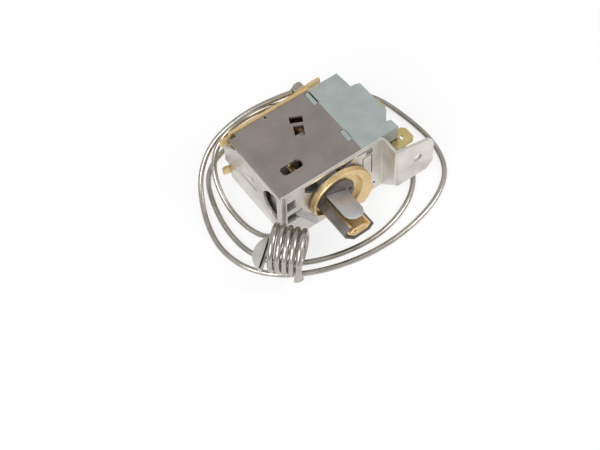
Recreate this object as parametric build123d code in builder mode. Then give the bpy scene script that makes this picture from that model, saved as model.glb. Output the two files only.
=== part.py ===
"""Cold control thermostat: folded steel body, snail cam, split spindle and a coiled capillary sensor."""

from build123d import *
import math
import os

os.makedirs("parts", exist_ok=True)

# Driving dimensions, in millimetres. X runs along the body towards the terminals,
# Y runs from the knob side to the power element, Z is up.

# Body
body_length = 31.0
body_depth = 29.0
body_height = 24.0
frame_sheet = 1.0
cover_sheet = 0.8
back_sheet = 1.2
bend_radius = 1.2
front_face = -0.8
cover_lip = 1.6
hook_reach = 2.5

# Mounting ear
jog_at = 38.2
jog_depth = 7.4
ear_end = 53.0
ear_low = 6.6
ear_top = 22.8
ear_hole_radius = 1.55
ear_hole_at = (46.8, 15.4)

# Cam and spindle
spindle_at = (18.8, 11.8)
spindle_turn = 190.0
spindle_tilt = -20.0
spindle_reach = 16.0
tongue_reach = 14.8
tongue_width = 8.4
tongue_rise = 2.9
spindle_sheet = 0.8
journal_radius = 3.4
running_gap = 0.05
cam_sheet = 0.8
cam_rim_depth = 3.4
cam_back = front_face - 0.65
bush_wall = 0.9

# Cam follower
follower_pivot = (4.6, 8.8)
follower_swing = 17.2
follower_thick = 0.95
follower_height = 3.6
follower_low = 9.7
follower_post_radius = 1.2
finger_slope = 0.51
finger_gap = 0.2
finger_face = 9.3

# Main lever, spring and power element
lever_post_at = (14.5, 21.8)
lever_post_radius = 1.5
lever_sheet = 1.2
lever_front = 18.6
lever_low = 7.0
lever_top = 19.0
lever_left = 5.0
lever_right = 29.0
tongue_tip = 38.0
spring_at = (9.6, 11.5)
spring_radius = 2.1
spring_wire = 0.4
spring_turns = 5
wire_sides = 6
range_screw_radius = 1.4
nut_thick = 1.4
bellows_at = (24.0, 14.0)
bellows_radius = 6.2
bellows_root = 4.4
bellows_pleats = 5
nozzle_at = (30.4, 21.2)
nozzle_radius = 1.9
nozzle_end = 34.6
neck_radius = 1.3
neck_at = 33.5
dish_depth = 1.4

# Switch
housing_length = 11.0
housing_overhang = 15.4
housing_low = 3.0
housing_roof = 18.2
housing_wall = 1.3
base_thick = 1.5
blade_width = 6.35
blade_thick = 0.8
blade_low = 17.0
blade_tip = 49.8
blade_hole_radius = 0.9
line_centre = 0.0
load_centre = 14.7
line_shank = (1.9, 3.1)
contact_radius = 1.3
contact_leaf = 0.4
contact_gap = 1.1
leaf_at = 15.6

# Differential screw
differential_at = (11.2, 19.6)
differential_radius = 1.3
differential_head = 2.4
bracket_sheet = 1.2
bracket_at = 10.8

# Capillary and its coiled end
capillary_radius = 0.9
tube_sides = 8
coil_tube_radius = 1.0
coil_radius = 6.9
coil_pitch = 2.25
coil_turns = 5
coil_start = (-7.4, -5.05)
coil_heading = (0.636, -0.772)
coil_centre_height = 9.9

# The origin lies under the middle of the body's box, leaving out the capillary
origin_x = (hook_reach - ear_end) / 2
origin_y = (spindle_reach - nozzle_end) / 2


def from_front(y):
    """Upright plane at depth y, seen from the knob side."""
    return Plane(origin=(origin_x, origin_y + y, 0), x_dir=(1, 0, 0), z_dir=(0, -1, 0))


def from_above(z):
    """Level plane at height z."""
    return Plane(origin=(origin_x, origin_y, z), x_dir=(1, 0, 0), z_dir=(0, 0, 1))


def from_right(x):
    """Upright plane at x, seen from the terminal side."""
    return Plane(origin=(origin_x + x, origin_y, 0), x_dir=(0, 1, 0), z_dir=(1, 0, 0))


def along_spindle(y):
    """Plane across the spindle at depth y, turned with the knob's flats."""
    tilt = math.radians(spindle_tilt)
    centre = (origin_x + spindle_at[0], origin_y + y, spindle_at[1])
    return Plane(origin=centre, x_dir=(math.cos(tilt), 0, math.sin(tilt)), z_dir=(0, -1, 0))


def finish(piece, name):
    """Label a finished piece and write it out."""
    piece.part.label = name
    export_step(piece.part, f"parts/{name}.step")


# Frame: strip of sheet folded from the end plate round the front plate and the jog to the mounting ear
front_back = front_face + frame_sheet
jog_end = front_face - jog_depth
web_low = 3.2
web_top = web_low + frame_sheet
end_plate_front = front_face + 2 * frame_sheet
end_plate_top = body_height - cover_lip
end_plate_back = body_depth - 0.2
tail_back = body_depth + 2.7
bush_bore = journal_radius + bush_wall + running_gap

with BuildPart() as frame:
    with BuildSketch(from_above(0)):
        with BuildLine():
            FilletPolyline(
                (0, end_plate_front),
                (0, front_face),
                (jog_at, front_face),
                (jog_at, jog_end),
                (ear_end, jog_end),
                radius=[bend_radius, bend_radius - frame_sheet, bend_radius],
            )
            offset(amount=frame_sheet, side=Side.LEFT)
        make_face()
    extrude(amount=body_height)
    with BuildSketch(from_right(-1)):
        with BuildLine():
            Polyline(
                (jog_end - 1, body_height),
                (jog_end - 1, ear_low),
                (jog_end + frame_sheet, ear_low),
                (front_face, 0),
                (front_back, 0),
                (front_back, web_low),
                (end_plate_front, web_low),
                (end_plate_front, end_plate_top),
                (front_back, end_plate_top),
                (front_back, body_height),
                close=True,
            )
        make_face()
    extrude(amount=ear_end + 2, mode=Mode.INTERSECT)
    with BuildSketch(from_front(end_plate_front + 1)):
        with BuildLine():
            FilletPolyline(
                (-1, body_height + 1),
                (-1, -1),
                (jog_at + frame_sheet, -1),
                (jog_at + frame_sheet, ear_low),
                (ear_end - 2.4, ear_low),
                (ear_end, ear_low + 2.6),
                (ear_end, 19.2),
                (50.9, 21.6),
                (46.0, ear_top),
                (jog_at + frame_sheet, body_height + 0.4),
                radius=0.4,
                close=True,
            )
        make_face()
    extrude(amount=end_plate_front + 2 - jog_end, mode=Mode.INTERSECT)
    # Openings of the front plate: bush bore, follower slot, windows and the gap under the cover
    with BuildSketch(from_front(front_back)):
        with Locations(spindle_at):
            Circle(bush_bore)
        with Locations((4.4, 11.5)):
            RectangleRounded(5.8, 4.2, 0.6)
        with Locations((3.2, 18.1)):
            Rectangle(3.2, 4.4)
        with BuildLine():
            Polyline(
                (8.4, 23.1),
                (8.4, 20.6),
                (11.5, 18.0),
                (14.0, 17.2),
                (24.0, 19.5),
                (27.2, 23.1),
                close=True,
            )
        make_face()
        with Locations((31.4, 23.0)):
            Rectangle(5.4, 0.5)
        with Locations((33.2, 21.4)):
            Rectangle(2.6, 2.2)
        with Locations((35.2, 3.6)):
            Circle(0.5)
    extrude(amount=frame_sheet, mode=Mode.SUBTRACT)
    # Lanced tongue in the front plate, cut free on three sides
    with BuildSketch(from_front(front_back)):
        with BuildLine():
            Polyline((30.9, 10.0), (30.9, 19.6), (34.0, 19.6), (34.0, 10.0))
            offset(amount=0.35, side=Side.LEFT)
        make_face()
    extrude(amount=frame_sheet, mode=Mode.SUBTRACT)
    # Hole of the mounting ear
    with BuildSketch(from_front(jog_end + frame_sheet)):
        with Locations(ear_hole_at):
            Circle(ear_hole_radius)
    extrude(amount=frame_sheet, mode=Mode.SUBTRACT)
finish(frame, "frame")

# End plate: closes the body on the left, with a tapered tail behind the back plate's hooks
with BuildPart() as end_plate:
    with BuildSketch(from_right(0)):
        with BuildLine():
            Polyline(
                (end_plate_front, web_low),
                (end_plate_back, web_low),
                (end_plate_back, 7.6),
                (tail_back, 7.6),
                (tail_back, 11.4),
                (24.8, 21.6),
                (24.8, end_plate_top),
                (end_plate_front, end_plate_top),
                close=True,
            )
        make_face()
        with Locations((5.5, 15.4)):
            Ellipse(3.7, 5.8, mode=Mode.SUBTRACT)
        with Locations(Location((17.9, 13.5), 7.9)):
            SlotOverall(8.9, 0.9, mode=Mode.SUBTRACT)
        with Locations(Location((22.1, 16.7), 49.0)):
            SlotOverall(2.6, 0.7, mode=Mode.SUBTRACT)
        with Locations(Location((15.8, 16.9), 21.0)):
            SlotOverall(2.4, 1.2, mode=Mode.SUBTRACT)
    extrude(amount=frame_sheet)
finish(end_plate, "end_plate")

# Bottom web that carries the pivot posts
web_right = body_length - 1.5
web_back = body_depth - 0.4
with BuildPart() as bottom_web:
    with BuildSketch(from_above(web_low)):
        with Locations(((frame_sheet + web_right) / 2, (front_back + web_back) / 2)):
            RectangleRounded(web_right - frame_sheet, web_back - front_back, 1.0)
        with Locations((24.0, 10.0)):
            RectangleRounded(8.0, 10.0, 1.5, mode=Mode.SUBTRACT)
        with Locations(follower_pivot):
            Circle(follower_post_radius, mode=Mode.SUBTRACT)
        with Locations(lever_post_at):
            Circle(lever_post_radius, mode=Mode.SUBTRACT)
    extrude(amount=frame_sheet)
finish(bottom_web, "bottom_web")

# Cover: a plate folded down along the end plate, with two windows and notches for the housing's lugs
cover_front = front_back + 0.1
with BuildPart() as cover:
    with BuildSketch(from_front(body_depth)):
        with BuildLine():
            FilletPolyline(
                (0, end_plate_top), (0, body_height), (body_length, body_height), radius=bend_radius
            )
            offset(amount=cover_sheet, side=Side.RIGHT)
        make_face()
    extrude(amount=body_depth - cover_front)
    with BuildSketch(from_above(body_height - 2)):
        with Locations(Location((21.3, 21.7), -26.0)):
            Rectangle(4.3, 2.5)
        with Locations(Location((19.6, 17.6), -26.0)):
            Rectangle(3.3, 4.0)
        with BuildLine():
            Polyline(
                (5.7, 6.6), (6.6, 5.9), (12.4, 5.9), (13.2, 6.7), (13.2, 8.5), (12.5, 9.2), (6.4, 9.2), (5.7, 8.5),
                close=True,
            )
        make_face()
        with Locations((14.0, 28.2)):
            Circle(0.45)
        with Locations((29.9, 25.6)):
            Rectangle(1.6, 5.8)
        with Locations((30.2, 7.4)):
            Rectangle(2.0, 4.8)
        with Locations((1.6, 28.4)):
            Rectangle(2.0, 1.6)
    extrude(amount=3, mode=Mode.SUBTRACT)
finish(cover, "cover")

# Back plate of the power element, hooked round the end plate
back_front = body_depth
back_outer = back_front + back_sheet
with BuildPart() as back_plate:
    with BuildSketch(from_front(back_outer)):
        with BuildLine():
            FilletPolyline(
                (1.2, 0),
                (36.2, 0),
                (36.2, 25.8),
                (31.4, 25.8),
                (31.4, 24.5),
                (1.2, 24.5),
                (1.2, 19.6),
                (-hook_reach, 19.6),
                (-hook_reach, 16.0),
                (1.2, 16.0),
                (1.2, 6.1),
                (-hook_reach, 6.1),
                (-hook_reach, 2.5),
                (1.2, 2.5),
                radius=0.4,
                close=True,
            )
        make_face()
        with Locations(spring_at):
            Circle(range_screw_radius + 1.0, mode=Mode.SUBTRACT)
        with Locations(bellows_at):
            Circle(bellows_root - 1.2, mode=Mode.SUBTRACT)
    extrude(amount=back_sheet)
finish(back_plate, "back_plate")

# Inlet dish: drawn teardrop that leads the charge from the nozzle to the bellows
with BuildPart() as inlet_dish:
    with BuildSketch(from_front(back_outer)):
        with Locations(bellows_at):
            Circle(7.4)
        with Locations(nozzle_at):
            Circle(3.3)
        make_hull()
    extrude(amount=-dish_depth, taper=22)
    fillet(inlet_dish.faces().sort_by(Axis.Y)[-1].edges(), radius=0.5)
finish(inlet_dish, "inlet_dish")

# Nozzle: turned stub with the side neck that takes the capillary
dish_face = back_outer + dish_depth
neck_end = nozzle_at[0] - nozzle_radius - 0.5
with BuildPart() as nozzle:
    with BuildSketch(from_front(nozzle_end)):
        with Locations(nozzle_at):
            Circle(nozzle_radius)
    extrude(amount=nozzle_end - dish_face)
    chamfer(nozzle.faces().sort_by(Axis.Y)[-1].edges(), length=0.4)
    with BuildSketch(from_right(neck_end)):
        with Locations((neck_at - 0.4, nozzle_at[1])):
            Circle(neck_radius)
    extrude(amount=nozzle_at[0] - neck_end)
finish(nozzle, "nozzle")

# Bellows: pleated cup soldered to the back plate, closed by a thick end against the main lever
lever_back = lever_front + lever_sheet
bellows_face = lever_back + 0.1
bellows_length = back_front - bellows_face
pleat = (bellows_length - 1.6) / bellows_pleats
with BuildPart() as bellows:
    with BuildSketch(Plane(origin=(origin_x + bellows_at[0], origin_y + back_front, bellows_at[1]),
                           x_dir=(1, 0, 0), z_dir=(0, 0, 1))):
        with BuildLine():
            rim = [(0, 0), (bellows_root, 0)]
            for fold in range(bellows_pleats):
                rim.append((bellows_radius, -(fold + 0.3) * pleat))
                rim.append((bellows_radius, -(fold + 0.5) * pleat))
                rim.append((bellows_root, -(fold + 0.8) * pleat))
                rim.append((bellows_root, -(fold + 1.0) * pleat))
            rim.append((bellows_root, -bellows_length))
            rim.append((0, -bellows_length))
            Polyline(*rim, close=True)
        make_face()
    revolve(axis=Axis((origin_x + bellows_at[0], origin_y, bellows_at[1]), (0, 1, 0)))
finish(bellows, "bellows")

# Pivot posts riveted into the bottom web
follower_top = follower_low + follower_height
with BuildPart() as follower_post:
    with BuildSketch(from_above(web_low)):
        with Locations(follower_pivot):
            Circle(follower_post_radius)
    extrude(amount=follower_top + 0.2 - web_low)
    with BuildSketch(from_above(web_top)):
        with Locations(follower_pivot):
            Circle(follower_post_radius + 0.9)
    extrude(amount=follower_low - 0.1 - web_top)
    with BuildSketch(from_above(follower_top + 0.1)):
        with Locations(follower_pivot):
            Circle(follower_post_radius + 0.6)
    extrude(amount=0.7)
finish(follower_post, "follower_post")

with BuildPart() as lever_post:
    with BuildSketch(from_above(web_low)):
        with Locations(lever_post_at):
            Circle(lever_post_radius)
    extrude(amount=lever_top + 0.2 - web_low)
    with BuildSketch(from_above(web_top)):
        with Locations(lever_post_at):
            Circle(lever_post_radius + 0.9)
    extrude(amount=lever_low - 0.1 - web_top)
    with BuildSketch(from_above(lever_top + 0.1)):
        with Locations(lever_post_at):
            Circle(lever_post_radius + 0.7)
    extrude(amount=0.8)
finish(lever_post, "lever_post")

# Main lever: folded plate with two eyes round its post and a finger into the switch
lug_thick = 1.2
with BuildPart() as main_lever:
    with BuildSketch(from_front(lever_back)):
        with BuildLine():
            Polyline(
                (lever_left, lever_low),
                (lever_right, lever_low),
                (lever_right, bellows_at[1] - 3.8),
                (tongue_tip, bellows_at[1] - 3.8),
                (tongue_tip, bellows_at[1] - 1.2),
                (lever_right, bellows_at[1] - 1.2),
                (lever_right, lever_top),
                (differential_at[0] + 2.4, lever_top),
                (differential_at[0] + 2.4, differential_at[1] + 1.8),
                (differential_at[0] - 2.4, differential_at[1] + 1.8),
                (differential_at[0] - 2.4, lever_top),
                (lever_left, lever_top),
                close=True,
            )
        make_face()
        with Locations(spring_at):
            Circle(range_screw_radius + running_gap, mode=Mode.SUBTRACT)
        with Locations((tongue_tip - 1.5, bellows_at[1] - 2.5)):
            Circle(0.6, mode=Mode.SUBTRACT)
    extrude(amount=lever_sheet)
    for lug_low in (lever_low, lever_top - lug_thick):
        with BuildSketch(from_above(lug_low)):
            with Locations(lever_post_at):
                Circle(lever_post_radius + 1.3)
            with Locations((lever_post_at[0], (lever_front + lever_post_at[1]) / 2)):
                Rectangle(2 * lever_post_radius + 2.6, lever_post_at[1] - lever_front)
            with Locations(lever_post_at):
                Circle(lever_post_radius + running_gap, mode=Mode.SUBTRACT)
        extrude(amount=lug_thick)
finish(main_lever, "main_lever")

# Range screw through the lever, with the square nut that holds the spring
nut_front = 16.0
with BuildPart() as range_screw:
    with BuildSketch(from_front(lever_back + 1.6)):
        with Locations(spring_at):
            Circle(range_screw_radius + 0.9)
    extrude(amount=1.5)
    with BuildSketch(from_front(lever_back + 0.2)):
        with Locations(spring_at):
            Circle(range_screw_radius)
    extrude(amount=lever_back + 0.2 - nut_front + 1.2)
    with BuildSketch(from_front(lever_back + 1.6)):
        with Locations(spring_at):
            Rectangle(4.8, 0.6)
    extrude(amount=0.7, mode=Mode.SUBTRACT)
finish(range_screw, "range_screw")

with BuildPart() as spring_nut:
    with BuildSketch(from_front(nut_front + nut_thick)):
        with Locations(spring_at):
            RectangleRounded(5.0, 5.0, 0.6)
            Circle(range_screw_radius + running_gap, mode=Mode.SUBTRACT)
    extrude(amount=nut_thick)
finish(spring_nut, "spring_nut")

# Cam follower: eye on its post, finger through the front plate and an arm that pulls the spring
finger_root = front_back + 0.2
finger_end = cam_back - cam_sheet - cam_rim_depth + 0.2
finger_tip = finger_end - 0.4


def finger_edge(y):
    """Right-hand face of the finger at depth y, in x."""
    return finger_face + finger_slope * (finger_end - y)


with BuildPart() as follower_lever:
    with BuildSketch(from_above(follower_low)):
        with Locations(follower_pivot):
            Circle(follower_post_radius + 1.1)
        with BuildLine():
            Polyline(
                (follower_pivot[0] + 1.6, follower_pivot[1]),
                (finger_edge(finger_root), finger_root),
                (finger_edge(finger_tip), finger_tip),
                (finger_edge(finger_tip) - follower_thick, finger_tip),
                (finger_edge(finger_root) - follower_thick, finger_root),
                (follower_pivot[0] + 0.6, follower_pivot[1]),
                close=True,
            )
        make_face()
        with Locations(follower_pivot):
            Circle(follower_post_radius + running_gap, mode=Mode.SUBTRACT)
    extrude(amount=follower_height)
    with BuildSketch(from_above(spring_at[1] - 0.5)):
        with BuildLine():
            Polyline(
                (follower_pivot[0] + 1.4, follower_pivot[1] - 1.5),
                (spring_at[0] + 2.4, follower_pivot[1] - 0.9),
                (spring_at[0] + 2.4, follower_pivot[1] + 0.9),
                (follower_pivot[0] + 1.4, follower_pivot[1] + 1.5),
                close=True,
            )
        make_face()
    extrude(amount=1.0)
finish(follower_lever, "follower_lever")


def half_turn_path(start, heading, across, radius, pitch, halves):
    """Ends and middles of the half circles that make a coil; each one is swung half a pitch along."""
    points = []
    for half in range(halves + 1):
        side = 1 if half % 2 == 0 else -1
        points.append(start + heading * (pitch * half / 2) + across * (side * radius))
    middles = []
    for half in range(halves):
        side = 1 if half % 2 == 0 else -1
        centre = (points[half] + points[half + 1]) * 0.5
        swing = (points[half + 1] - points[half]).length / 2
        middles.append((centre, side * swing))
    return points, middles


# Main spring: close wound tension spring between the follower's arm and the nut
spring_front = follower_pivot[1] + 0.9 + spring_wire + 0.2
spring_pitch = (nut_front - spring_front - spring_wire - 0.1) / spring_turns
spring_base = Vector(origin_x + spring_at[0], origin_y + spring_front, spring_at[1])
spring_ends, spring_middles = half_turn_path(
    spring_base, Vector(0, 1, 0), Vector(1, 0, 0), spring_radius, spring_pitch, 2 * spring_turns
)
with BuildPart() as main_spring:
    with BuildLine() as spring_line:
        for turn, (centre, rise) in enumerate(spring_middles):
            ThreePointArc(spring_ends[turn], centre + Vector(0, 0, rise), spring_ends[turn + 1])
    with BuildSketch(Plane(origin=spring_line.line @ 0, z_dir=spring_line.line % 0)):
        RegularPolygon(spring_wire, wire_sides)
    sweep()
finish(main_spring, "main_spring")

# Spindle bush in the front plate, and its retaining ring behind
bush_flange = journal_radius + bush_wall + 1.2
with BuildPart() as spindle_bush:
    with BuildSketch(from_front(front_back)):
        with Locations(spindle_at):
            Circle(journal_radius + bush_wall)
    extrude(amount=frame_sheet + 0.1)
    with BuildSketch(from_front(front_face)):
        with Locations(spindle_at):
            Circle(bush_flange)
    extrude(amount=0.5)
    with BuildSketch(from_front(front_back + 0.8)):
        with Locations(spindle_at):
            Circle(bush_flange)
    extrude(amount=0.8)
    with BuildSketch(from_front(front_back + 1)):
        with Locations(spindle_at):
            Circle(journal_radius + running_gap)
    extrude(amount=4, mode=Mode.SUBTRACT)
finish(spindle_bush, "spindle_bush")

# Cam: its rim is worked out from the follower's finger, so both keep touch over the whole turn
rim_front = cam_back - cam_sheet - cam_rim_depth
swing = math.radians(follower_swing)


def cam_radius(turned):
    """Rim radius that meets the finger once the spindle has turned by this many degrees."""
    lean = -swing * turned / spindle_turn
    reach_x = finger_face - follower_pivot[0]
    reach_y = finger_end - follower_pivot[1]
    face_x = follower_pivot[0] + reach_x * math.cos(lean) - reach_y * math.sin(lean)
    face_y = follower_pivot[1] + reach_x * math.sin(lean) + reach_y * math.cos(lean)
    run_x = finger_slope * math.cos(lean) + math.sin(lean)
    run_y = finger_slope * math.sin(lean) - math.cos(lean)
    step = (rim_front - face_y) / run_y
    return spindle_at[0] - (face_x + run_x * step) - finger_gap


def cam_point(turned, inset):
    """Point of the rim that reaches the finger after that turn, moved inwards by the inset."""
    angle = math.radians(180 - turned)
    radius = cam_radius(turned) - inset
    return (radius * math.cos(angle), radius * math.sin(angle))


def cam_outline(inset):
    """Snail curve closed by the two flats at the bottom of the cam."""
    steps = [-22 + 21.8 * n for n in range(11)]
    curve = Spline(*[cam_point(turned, inset) for turned in steps])
    low = spindle_at[1] - 3.6 - inset
    Polyline(curve @ 1, (8.4 - inset * 0.6, -low), (-4.0, -low), curve @ 0)


cam_axis_back = Plane(
    origin=(origin_x + spindle_at[0], origin_y + cam_back, spindle_at[1]), x_dir=(1, 0, 0), z_dir=(0, -1, 0)
)
with BuildPart() as cam:
    with BuildSketch(cam_axis_back):
        with BuildLine():
            cam_outline(0)
        make_face()
    extrude(amount=cam_sheet + cam_rim_depth)
    with BuildSketch(cam_axis_back.offset(cam_sheet)):
        with BuildLine():
            cam_outline(cam_sheet)
        make_face()
    extrude(amount=cam_rim_depth + 1, mode=Mode.SUBTRACT)
    with BuildSketch(cam_axis_back):
        Circle(journal_radius)
    extrude(amount=cam_sheet + 1, mode=Mode.SUBTRACT)
finish(cam, "cam")

# Spindle: journal, hub plate, flat tongue above and the faceted trough below
hub_back = cam_back - cam_sheet
hub_front = hub_back - spindle_sheet
with BuildPart() as spindle:
    with BuildSketch(along_spindle(front_back + 1.6)):
        Circle(journal_radius)
    extrude(amount=front_back + 1.6 - hub_back)
    with BuildSketch(along_spindle(front_back + 1.6)):
        Circle(journal_radius + 0.9)
    extrude(amount=0.7)
    with BuildSketch(along_spindle(hub_back)):
        with BuildLine():
            FilletPolyline(
                (-1.6, 7.3), (1.8, 7.1), (5.4, 4.6), (7.0, 1.0), (6.5, -2.6), (2.6, -6.4),
                (-1.8, -6.8), (-6.3, -3.0), (-7.2, -0.4), (-6.7, 2.5),
                radius=0.3, close=True,
            )
        make_face()
        with Locations((4.7, 2.5), (-4.5, -2.6)):
            Circle(0.5, mode=Mode.SUBTRACT)
    extrude(amount=spindle_sheet)
    tongue_half = tongue_width / 2
    with BuildSketch(along_spindle(hub_front)):
        with BuildLine():
            crown = ThreePointArc((-tongue_half, tongue_rise - 0.4), (0, tongue_rise), (tongue_half, tongue_rise - 0.4))
            Line(crown @ 1, crown @ 1 - Vector(0, spindle_sheet))
            floor = ThreePointArc(
                (-tongue_half, tongue_rise - 0.4 - spindle_sheet),
                (0, tongue_rise - spindle_sheet),
                (tongue_half, tongue_rise - 0.4 - spindle_sheet),
            )
            Line(floor @ 0, crown @ 0)
        make_face()
    extrude(amount=hub_front + tongue_reach)
    with BuildSketch(along_spindle(hub_front)):
        with BuildLine():
            trough = FilletPolyline(
                (-6.0, -1.6), (-5.3, -3.9), (-0.5, -6.3), (4.9, -3.9), (5.7, -1.5), radius=0.5
            )
            offset(amount=1.0, side=Side.LEFT)
        make_face()
    extrude(amount=hub_front + spindle_reach)
    # Rounded corners of the tongue's free end
    tip_edges = spindle.edges().filter_by(GeomType.LINE).filter_by(
        lambda edge: edge.length < 1.2
        and edge.center().Y < origin_y - tongue_reach + 0.1
        and edge.center().Y > origin_y - tongue_reach - 0.1
    )
    fillet(tip_edges, radius=2.2)
finish(spindle, "spindle")

# Cam tongue: half-round liner of the trough, struck out of the cam
with BuildPart() as cam_tongue:
    with BuildSketch(along_spindle(hub_front)):
        with BuildLine():
            liner = FilletPolyline((-4.9, -1.2), (-4.2, -3.2), (-0.5, -4.95), (3.9, -3.2), (4.6, -1.1), radius=1.0)
            offset(amount=0.7, side=Side.LEFT)
        make_face()
    extrude(amount=hub_front + spindle_reach - 0.6)
finish(cam_tongue, "cam_tongue")

# Switch housing: deep box beside the body under a stepped roof with two rounded lobes
housing_front = front_back
housing_back = body_depth
deep_right = body_length + housing_length
roof_right = body_length + housing_overhang
with BuildPart() as switch_housing:
    with BuildSketch(from_above(housing_roof)):
        with BuildLine():
            Polyline(
                (body_length, housing_front),
                (roof_right - 1.1, housing_front),
                (roof_right - 1.3, 3.6),
                (roof_right - 3.2, 4.4),
                (roof_right, 7.8),
                (roof_right - 0.3, 21.3),
                (roof_right - 1.8, 21.9),
                (roof_right - 3.4, 22.0),
                (roof_right - 3.9, housing_back),
                (body_length, housing_back),
                close=True,
            )
        make_face()
    extrude(amount=body_height - housing_roof)
    with BuildSketch(from_above(housing_low)):
        with Locations((body_length + housing_length / 2, (housing_front + housing_back) / 2)):
            Rectangle(housing_length, housing_back - housing_front)
    extrude(amount=housing_roof - housing_low)
    # Cavity, open below, with the window for the lever and the slots of the blades
    with BuildSketch(from_above(housing_low)):
        with Locations((body_length + housing_length / 2, (housing_front + housing_back) / 2)):
            Rectangle(housing_length - 2 * housing_wall, housing_back - housing_front - 2 * housing_wall)
    extrude(amount=blade_low + blade_thick + 1.4 - housing_low, mode=Mode.SUBTRACT)
    with BuildSketch(from_right(body_length - 1)):
        with Locations((lever_front + 0.6, bellows_at[1] - 2.5)):
            Rectangle(3.8, 4.6)
    extrude(amount=housing_wall + 2, mode=Mode.SUBTRACT)
    with BuildSketch(from_right(deep_right - housing_wall - 0.1)):
        with Locations(((line_shank[0] + line_shank[1]) / 2, blade_low + blade_thick / 2)):
            Rectangle(line_shank[1] - line_shank[0], blade_thick)
        with Locations((load_centre, blade_low + blade_thick / 2)):
            Rectangle(blade_width, blade_thick)
    extrude(amount=housing_overhang, mode=Mode.SUBTRACT)
finish(switch_housing, "switch_housing")

# Switch base: plastic floor that closes the housing from below
cavity_left = body_length + housing_wall
cavity_right = deep_right - housing_wall
cavity_front = housing_front + housing_wall
cavity_back = housing_back - housing_wall
base_top = housing_low + base_thick
with BuildPart() as switch_base:
    with BuildSketch(from_above(housing_low)):
        with Locations(((cavity_left + cavity_right) / 2, (cavity_front + cavity_back) / 2)):
            Rectangle(cavity_right - cavity_left, cavity_back - cavity_front)
    extrude(amount=base_thick)
finish(switch_base, "switch_base")

# Line blade: spade outside, bus that drops inside to the root of the contact leaf
leaf_left = cavity_left + 1.0
leaf_width = 5.6
line_outer = deep_right + 0.2
leaf_root = base_top + 1.6
bus_end = leaf_at - contact_leaf / 2 - 0.08
with BuildPart() as terminal_line:
    with BuildSketch(from_above(blade_low)):
        with BuildLine():
            Polyline(
                (leaf_left, line_shank[0]),
                (line_outer, line_shank[0]),
                (line_outer, line_centre - blade_width / 2),
                (blade_tip - 1.2, line_centre - blade_width / 2),
                (blade_tip, line_centre - blade_width / 2 + 1.2),
                (blade_tip, line_centre + blade_width / 2 - 1.2),
                (blade_tip - 1.2, line_centre + blade_width / 2),
                (line_outer + 0.8, line_centre + blade_width / 2),
                (line_outer, line_shank[1]),
                (leaf_left, line_shank[1]),
                close=True,
            )
        make_face()
        with Locations((blade_tip - 3.6, line_centre)):
            Circle(blade_hole_radius, mode=Mode.SUBTRACT)
    extrude(amount=blade_thick)
    with BuildSketch(from_right(leaf_left)):
        with BuildLine():
            FilletPolyline(
                (line_shank[0], blade_low + blade_thick / 2),
                (line_shank[0], base_top),
                (bus_end, base_top),
                (bus_end, leaf_root),
                radius=0.9,
            )
            offset(amount=blade_thick, side=Side.LEFT)
        make_face()
    extrude(amount=leaf_width)
finish(terminal_line, "terminal_line")

# Load blade, folded down inside to the fixed contact
fixed_face = leaf_at - contact_leaf / 2 - 0.8 - contact_gap
leg_back = fixed_face - 0.7
with BuildPart() as terminal_load:
    with BuildSketch(from_above(blade_low)):
        with BuildLine():
            Polyline(
                (leaf_left, leg_back - blade_thick),
                (cavity_right, leg_back - blade_thick),
                (cavity_right, load_centre - blade_width / 2),
                (blade_tip - 1.2, load_centre - blade_width / 2),
                (blade_tip, load_centre - blade_width / 2 + 1.2),
                (blade_tip, load_centre + blade_width / 2 - 1.2),
                (blade_tip - 1.2, load_centre + blade_width / 2),
                (cavity_right, load_centre + blade_width / 2),
                (cavity_right - 0.2, leg_back + 2.0),
                (leaf_left, leg_back),
                close=True,
            )
        make_face()
        with Locations((blade_tip - 3.6, load_centre)):
            Circle(blade_hole_radius, mode=Mode.SUBTRACT)
    extrude(amount=blade_thick)
    with BuildSketch(from_front(leg_back)):
        with Locations((leaf_left + leaf_width / 2, (blade_low + blade_thick + 11.4) / 2)):
            Rectangle(leaf_width, blade_low + blade_thick - 11.4)
    extrude(amount=blade_thick)
finish(terminal_load, "terminal_load")

# Contacts, riveted to the leg and to the leaf
contact_height = 13.4
contact_x = leaf_left + leaf_width / 2
with BuildPart() as fixed_contact:
    with BuildSketch(from_front(fixed_face)):
        with Locations((contact_x, contact_height)):
            Circle(contact_radius)
    extrude(amount=fixed_face - leg_back)
finish(fixed_contact, "fixed_contact")

leaf_front = leaf_at - contact_leaf / 2
leaf_back = leaf_at + contact_leaf / 2
with BuildPart() as contact_arm:
    with BuildSketch(from_front(leaf_back)):
        with BuildLine():
            FilletPolyline(
                (leaf_left + 0.4, base_top + 0.2),
                (leaf_left + leaf_width - 0.4, base_top + 0.2),
                (leaf_left + leaf_width - 1.0, contact_height + 1.8),
                (leaf_left + 1.0, contact_height + 1.8),
                radius=0.3,
                close=True,
            )
        make_face()
    extrude(amount=contact_leaf)
finish(contact_arm, "contact_arm")

with BuildPart() as moving_contact:
    with BuildSketch(from_front(leaf_front)):
        with Locations((contact_x, contact_height)):
            Circle(contact_radius)
    extrude(amount=0.8)
finish(moving_contact, "moving_contact")

# Push pin: insulating button in the lever's finger, just behind the leaf
pin_at = (tongue_tip - 1.5, bellows_at[1] - 2.5)
with BuildPart() as push_pin:
    with BuildSketch(from_front(lever_back)):
        with Locations(pin_at):
            Circle(0.6)
    extrude(amount=lever_sheet)
    with BuildSketch(from_front(lever_front)):
        with Locations(pin_at):
            Circle(1.2)
    extrude(amount=lever_front - leaf_back - 0.25)
    fillet(push_pin.faces().sort_by(Axis.Y)[0].edges(), radius=0.5)
    with BuildSketch(from_front(lever_back + 0.6)):
        with Locations(pin_at):
            Circle(1.0)
    extrude(amount=0.6)
finish(push_pin, "push_pin")

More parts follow.
